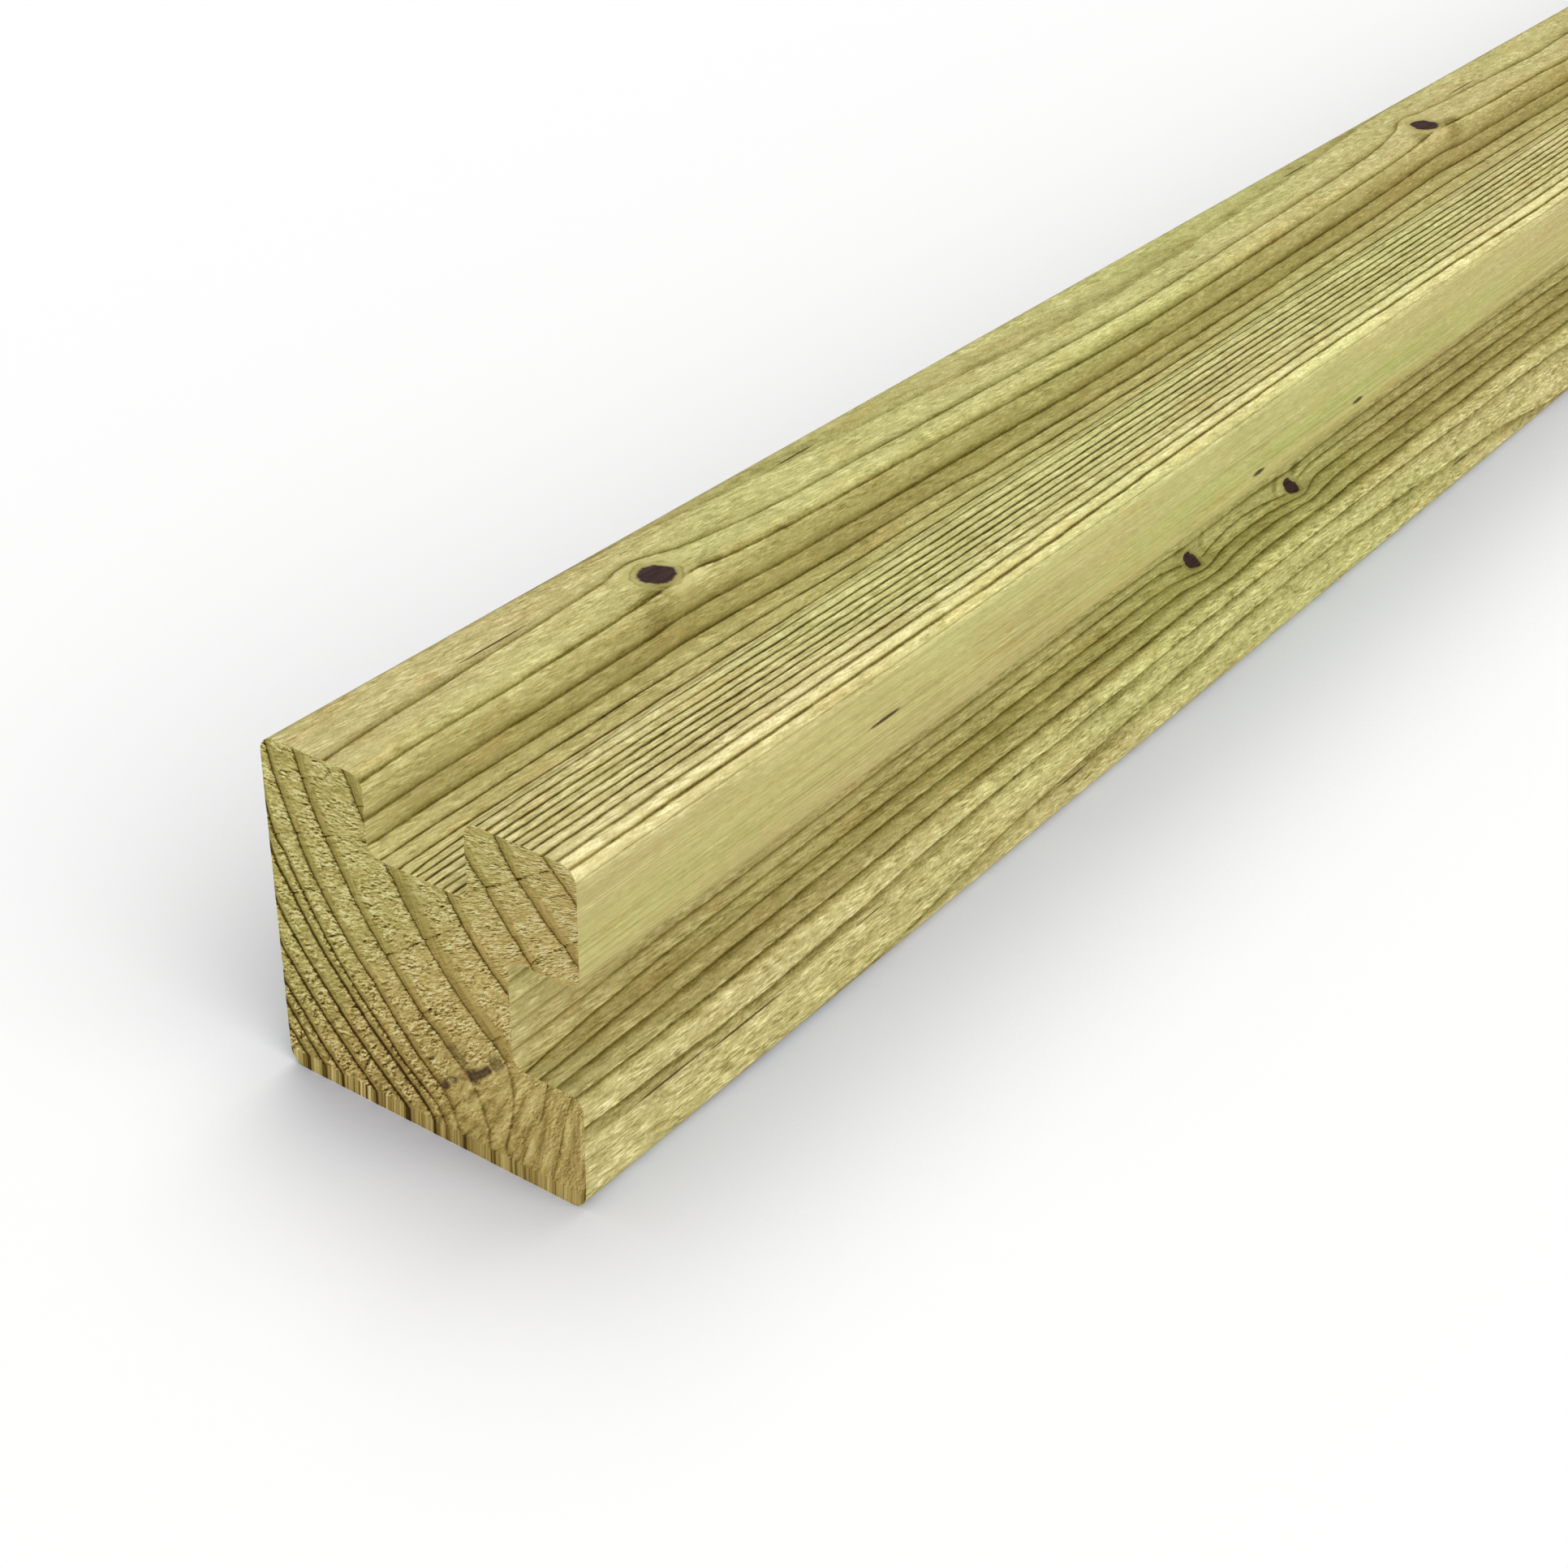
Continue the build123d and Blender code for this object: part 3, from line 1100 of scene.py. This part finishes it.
# The tone round each line is partly the wood's own and partly painted shade
value = 0.56 + 0.36 * planed.attribute("tone_and_shade")
value += glints_and_mottle * (figure * calm)
value += 0.32 * (patches - 0.5) * (0.2 + 0.7 * figure)
value = layer(value, fibres, 0.14)
value += 0.62 * (combed - 0.5) * (1.2 - figure)
darkness *= planed.rise(knot_distance, 1.25, 1.85, 0.12, 1.0)
crispness = planed.rise(line_dark, 0.5, 1.0, 0.4, 1.0)
sharp_line = thin_line * darkness * crispness
value -= 0.28 * soft_band * darkness
value -= 0.33 * sharp_line
value -= 0.12 * swirl_strength * calm
value -= 0.1 * rim
value -= 0.11 * wrap
value -= 0.16 * smudge
print("the value takes", len(planed.tree.nodes), "nodes")

# %% [markdown]
# The preservative has coloured some stretches of the post greener than others. The same value runs through
# two ramps, one of tan wood and one of green wood, and a slow drift along the post mixes them. Knots, pitch
# marks and the purplish late wood of the broadest lines are painted over that.

# %% Planed wood: from value to colour
value_stops = (0.00, 0.18, 0.38, 0.56, 0.76, 1.00)


def ramp(recipe, value, colours):
    """The wood's colour for a value, from the colours at the stops, dark to pale."""
    made = recipe.node("ValToRGB", value)
    elements = made.color_ramp.elements
    while len(elements) < len(value_stops):
        elements.new(1.0)
    for element, position, colour in zip(elements, value_stops, colours):
        element.position = position
        element.color = tone(*colour)
    return made.outputs[0]


tan_wood = ramp(planed, value, (
    (62, 47, 16), (104, 90, 36), (150, 136, 77), (188, 174, 114), (219, 206, 146), (254, 243, 186),
))
green_wood = ramp(planed, value, (
    (56, 48, 16), (96, 90, 34), (146, 141, 75), (186, 182, 114), (216, 213, 142), (246, 244, 174),
))
swing = planed.math("COSINE", from_near_end * (pi / grain_repeat))
greenness = planed.rise(drift, 0.25, 0.75, 0.1, 0.9)
greenness = planed.math("MULTIPLY_ADD", swing, -0.34, greenness, clamp=True)
colour = planed.mix(greenness, tan_wood, green_wood)
print("tan and green wood are mixed")

# %% Planed wood: tints of single faces
# Bare tan patches, where the stain took less
bare = planed.noise(planed.vector("ADD", stretched(5, 30), (7.0, 3.0, 1.0)), 2.0)
bare_share = planed.rise(bare, 0.56, 0.72, 0.0, 0.35)
colour = planed.mix(bare_share, colour, tone(255, 234, 212), "MULTIPLY")

# The lip's right face has a green streak along its middle, 70 mm up, and a pinkish one beside the side groove
on_right = planed.rise(part_x, side / 2 - 1.2, side / 2 - 0.2)
streaky = planed.rise(grain_noise(2.2, 40), 0.35, 0.6, 0.25, 1.0)
streak_share = on_right * streaky * planed.rise(mirrored, 120, 260, 0.3, 1.0)
off_green = planed.math("ABSOLUTE", part_z - 70.0)
off_pink = planed.math("ABSOLUTE", part_z - 61.8)
green_share = planed.rise(off_green, 6.0, 0.5, 0.0, 0.5) * streak_share
pink_share = planed.rise(off_pink, 6.5, 1.0, 0.0, 0.42) * streak_share
colour = planed.mix(green_share, colour, tone(240, 255, 222), "MULTIPLY")
colour = planed.mix(pink_share, colour, tone(255, 228, 204), "MULTIPLY")
print("the lip's right face is tinted")

# %% Planed wood: marks, knots and surface
purple = planed.math("MULTIPLY", thin_line * breadth, 1.3, clamp=True)
colour = planed.mix(purple, colour, tone(124, 106, 66))
colour = planed.mix(0.92 * mark, colour, tone(64, 50, 24))
knot_wood = planed.mix(planed.rise(fibres, 0.35, 0.65), tone(48, 33, 34), tone(78, 57, 52))
colour = planed.mix(knot_core, colour, knot_wood)
planed.paint(colour, planed.rise(glint_grain, 0.3, 0.7, 0.75, 0.6), 0.1)
height = 0.35 * fibres + 0.3 * glint_grain - 0.6 * sharp_line - 0.5 * knot_core
planed.bump(height, 0.5, 0.0002)
print("planed wood has", len(planed.tree.nodes), "nodes")

# %% [markdown]
# ## The sawn ends
# End grain shows the cut tubes of the wood, so it is rough. The saw tears the soft early wood into small
# scales that lie along the rays, towards the pith, and each is painted with a highlight on top and shade
# beneath. The late wood is smooth and darker, up to its sharp edge, and the checks run across. The same
# ring numbers draw it. Noise on the angle and distance about the pith gives scales that turn with the rays,
# and the noise less its own copy from a little higher up paints each scale's highlight and shade.

# %% Sawn wood: rings
sawn = Recipe("sawn_pine")
object_place = sawn.node("TexCoord").outputs["Object"]
sawn_mm = sawn.vector("MULTIPLY", object_place, PER_METRE)
torn_place = sawn.vector("MAXIMUM", sawn_mm, (-1e4, -1e4, tear_height))


def end_noise(place, fineness, detail=2.0, roughness=0.5):
    """Noise with this many lumps in a mm across and up."""
    return sawn.noise(sawn.vector("MULTIPLY", place, (fineness, 0.0, fineness)), detail, roughness)


to_edge, past_edge = beside_edges(sawn, end_noise(torn_place, 0.4), 0.7)
late_part = to_edge / sawn.attribute("soft_side")
late_wood = sawn.rise(late_part, 1.32, 0.62)
edge_dark = sawn.attribute("line_dark")
# The dark line at each ring's sharp edge: partly the late wood's own dark edge, partly painted shadow of the
# step
edge_line_and_shadow = sawn.math(
    "MAXIMUM",
    sawn.rise(to_edge / (1.05 * edge_dark), 1.0, 0.2),
    sawn.rise(past_edge / (0.6 * edge_dark), 1.0, 0.3),
)
inner_line = sawn.rise(late_part, 0.5, 0.62) * sawn.rise(late_part, 0.8, 0.66)
outer_line = sawn.rise(late_part, 1.12, 1.0) * sawn.rise(late_part, 0.86, 0.95)
print("rings of the sawn end take", len(sawn.tree.nodes), "nodes")

# %% Sawn wood: scales along the rays
from_pith = sawn.vector("SUBTRACT", torn_place, (pith[0] - side / 2, 0.0, pith[1]))
aside, _, upward = sawn.split(from_pith)
ray_angle = sawn.math("ARCTAN2", upward, aside)
ray_reach = sawn.length(sawn.vector("MULTIPLY", from_pith, (1.0, 0.0, 1.0)))
usual_reach = 110.0


def on_rays(long, wide, lift=0.0):
    """A place counted in scales of this many mm along and across the rays, raised by part of a scale."""
    outwards = ray_reach * (1 / long)
    sideways = ray_angle * (usual_reach / wide) - lift
    return sawn.join(outwards, sideways, lift * 0.5)


def painted_scale_shading(long, wide):
    """Painted highlight and shade of scales, from about -0.5 to 0.5, and the plain scales."""
    here = sawn.noise(on_rays(long, wide), 2.0, 0.6, 0.4)
    above = sawn.noise(on_rays(long, wide, 0.5), 2.0, 0.6, 0.4)
    return here - above, here


fine_scale_shading, scales = painted_scale_shading(1.5, 0.50)
coarse_scale_shading, _ = painted_scale_shading(2.3, 0.95)
# Painted shade in small pits of the early wood
pit_shade = sawn.rise(sawn.noise(on_rays(1.5, 0.8), 2.0, 0.6, 0.6), 0.62, 0.72)
clumps = sawn.noise(on_rays(5.0, 4.0), 2.0)
grooves = sawn.noise(on_rays(0.5, 12.0), 2.0, 0.6)
print("scales are laid along the rays")

# %% Sawn wood: the value of the wood
branch = sawn.attribute("branch")
rest_of_end = 1.0 - branch
# The torn early wood carries the painted highlights and shade of its scales and painted shade in pits
torn = sawn.rise(clumps, 0.35, 0.6, 0.45, 1.25) * (0.38 + 0.62 * rest_of_end)
early_value = torn * (1.3 * fine_scale_shading + 1.15 * coarse_scale_shading - 0.22 * pit_shade)
early_value = layer(early_value, clumps, 0.2) + 0.615
# Painted shadow that the raised late wood casts on the early wood just past its edge
early_value -= 0.12 * sawn.rise(past_edge, 1.4, 0.3)
late_value = layer(0.31, grooves, 0.42) + 0.15 * late_part + 0.05 * inner_line
late_amount = late_wood * (0.8 - 0.8 * branch)
value = early_value + (late_value - early_value) * late_amount
value -= 0.06 * outer_line * rest_of_end
# The ring edge line with its painted shadow, faint in the branch
value -= 0.34 * edge_line_and_shadow * edge_dark * (1.0 - 0.85 * branch)
print("early and late wood are mixed")

# %% [markdown]
# The wood of the branch was cut nearly along its grain, so it has no scales: soft streaks fan out in it,
# and ring edges are only soft steps. The same soft streaks, but straight down, mark the strip at the bottom
# where the saw left the timber and pulled fibres out.

# %% Sawn wood: the branch and the bottom strip
# In the branch a ring edge is only a soft step, painted with shade inside and a highlight outside
value -= 0.22 * sawn.rise(to_edge, 2.6, 0.1) * branch
value += 0.07 * sawn.rise(past_edge, 2.2, 0.2) * branch

# Wood of the branch fans out downwards in soft streaks
fan_middle = (92.0, 62.0)
from_fan = sawn.vector("SUBTRACT", torn_place, (fan_middle[0] - side / 2, 0.0, fan_middle[1]))
fan_x, _, fan_z = sawn.split(from_fan)
fan_angle = sawn.math("ARCTAN2", fan_x, -1 * fan_z)
fan_reach = sawn.length(sawn.vector("MULTIPLY", from_fan, (1.0, 0.0, 1.0)))
fan_place = sawn.join(26.0 * fan_angle, 0.08 * fan_reach, 0.0)
fan = sawn.noise(fan_place, 3.0, 0.6, 0.3)
value += 1.1 * (fan - 0.5) * branch

# The wood is darker towards the bottom
part_x, _, part_z = sawn.split(torn_place)
value -= 0.1 * sawn.rise(part_z, 46.0, 14.0)

# Right at the bottom the fibres are torn straight down, in streaks
under_tear = sawn.rise(sawn.split(sawn_mm)[2], tear_height + 0.3, tear_height - 0.3)
streaks = sawn.noise(sawn.vector("MULTIPLY", torn_place, (1.7, 0.0, 0.0)), 2.0, 0.6)
value += 0.55 * (streaks - 0.5) * under_tear
print("branch and bottom strip are streaked")

# %% Sawn wood: checks
# A check wavers a little and closes up here and there
jitter = end_noise(sawn_mm, 0.9)
off_check = sawn.attribute("check_side") + 0.8 * (jitter - 0.5)
gaping = sawn.rise(sawn.math("ABSOLUTE", off_check), 0.24, 0.05)
check_ebb = sawn.rise(end_noise(sawn_mm, 0.35), 0.36, 0.60)
check_shade = gaping * sawn.attribute("check_strength") * check_ebb
# Painted shade inside the checks
value -= 0.45 * check_shade
print("checks darken the value")

# %% Sawn wood: colour, stain and surface
tan_end = ramp(sawn, value, (
    (66, 44, 12), (120, 95, 38), (172, 147, 80), (213, 188, 115), (244, 223, 150), (255, 250, 196),
))
green_end = ramp(sawn, value, (
    (54, 42, 8), (106, 92, 32), (160, 146, 74), (203, 189, 112), (236, 225, 148), (255, 252, 188),
))
# The end is greener high on the left and warmer low on the right
warmth = sawn.rise(part_x - part_z + 24.0 * clumps, -70.0, -15.0)
colour = sawn.mix(warmth, green_end, tan_end)
ragged = end_noise(torn_place, 0.9, 3.0, 0.65)
stain_share = sawn.attribute("stain") * sawn.rise(ragged, 0.3, 0.6, 0.6, 1.3)
stain_share = 0.9 * sawn.rise(stain_share, 0.0, 0.95)
colour = sawn.mix(stain_share, colour, tone(78, 57, 44))
sawn.paint(colour, 0.85, 0.1)
height = scales * (1.1 - late_wood) - 0.5 * edge_line_and_shadow * rest_of_end - 0.7 * check_shade
sawn.bump(height, 0.6, 0.0004)
print("sawn wood has", len(sawn.tree.nodes), "nodes")

# %% [markdown]
# ## Handing the post over
# The dressed mesh takes the solid's place: it rides on the same body, the root, replaces the node "post" and
# fills its slot "timber". The frame can then swap it in wherever the solid post was.

# %% Hand the post over to the frame
post_mesh.materials.append(planed.material)
post_mesh.materials.append(sawn.material)
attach(post, "root")
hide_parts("post")
triangles = sum(total - 2 for total in corners_of_face)
print("post_timber has", triangles, "triangles")

# %% [markdown]
# ## Floor and light
# The post lies on a seamless white floor. Light falls on it as it does between two large soft boxes: one
# stands low at the right and reaches into both grooves, and one hangs high behind it at the left. Each is a
# sun made very wide, so that its shadows are soft, and a dim even sky fills in the rest. Lamps near the
# post would light its near end more than the far one; a sun lights all of it alike. The floor's colour is
# lifted to white for the camera alone, so the post is lit by an ordinary pale floor and the picture still
# has a white background.

# %% Floor
floor_mesh = bpy.data.meshes.new("floor")
floor_builder = bmesh.new()
bmesh.ops.create_grid(floor_builder, x_segments=1, y_segments=1, size=30)
floor_builder.to_mesh(floor_mesh)
floor_builder.free()
floor = bpy.data.objects.new("floor", floor_mesh)
bpy.context.scene.collection.objects.link(floor)

pale_floor = Recipe("pale_floor")
seen = pale_floor.node("LightPath").outputs["Is Camera Ray"]
floor_grey = (0.8, 0.8, 0.8, 1.0)
floor_white = (1.0, 1.0, 1.0, 1.0)
floor_in_shade = (0.69, 0.715, 0.81, 1.0)

# Light that the post itself throws on the floor beside it would wash out its soft shadow, so the floor is a
# little greyer wherever something stands close
openness = pale_floor.node("AmbientOcclusion", samples=8, inside=False)
openness.inputs["Distance"].default_value = 0.2
open_share = pale_floor.node("MapRange", openness.outputs["AO"], 0.50, 0.93, 0.0, 1.0).outputs[0]
floor_seen = pale_floor.mix(open_share, floor_in_shade, floor_white)
pale_floor.paint(pale_floor.mix(seen, floor_grey, floor_seen), 1.0, 0.0)
floor_mesh.materials.append(pale_floor.material)
print("the floor is", tuple(floor.dimensions[:2]), "m")

# %% Sky and soft boxes
# The sky's share of the light on the floor. The camera sees it white
sky_share = 0.09
# Each soft box: its direction round from the right and up from the floor, its width, all in degrees, and its
# share of the light on the floor
soft_boxes = {
    "low_right": (-20, 40, 70, 0.515),
    "high_back_left": (125, 66, 50, 0.395),
}

sky = bpy.data.worlds.new("sky")
bpy.context.scene.world = sky
sky.use_nodes = True
sky_tree = sky.node_tree
background = sky_tree.nodes["Background"]
background.inputs["Color"].default_value = (1, 1, 1, 1)
ray = sky_tree.nodes.new("ShaderNodeLightPath")
level = sky_tree.nodes.new("ShaderNodeMapRange")
level.inputs["To Min"].default_value = sky_share
level.inputs["To Max"].default_value = 1.0
sky_tree.links.new(ray.outputs["Is Camera Ray"], level.inputs["Value"])
sky_tree.links.new(level.outputs[0], background.inputs["Strength"])

open_floor = sky_share
for name, (turn, climb, width, share) in soft_boxes.items():
    box_data = bpy.data.lights.new(name, "SUN")
    box_data.angle = radians(width)
    box_data.energy = share * pi / sin(radians(climb))
    box = bpy.data.objects.new(name, box_data)
    bpy.context.scene.collection.objects.link(box)
    box.rotation_euler = (radians(90 - climb), 0, radians(90 + turn))
    open_floor += share
bpy.context.scene.view_settings.view_transform = "Standard"
print("an open white floor is lit to", round(open_floor, 2))
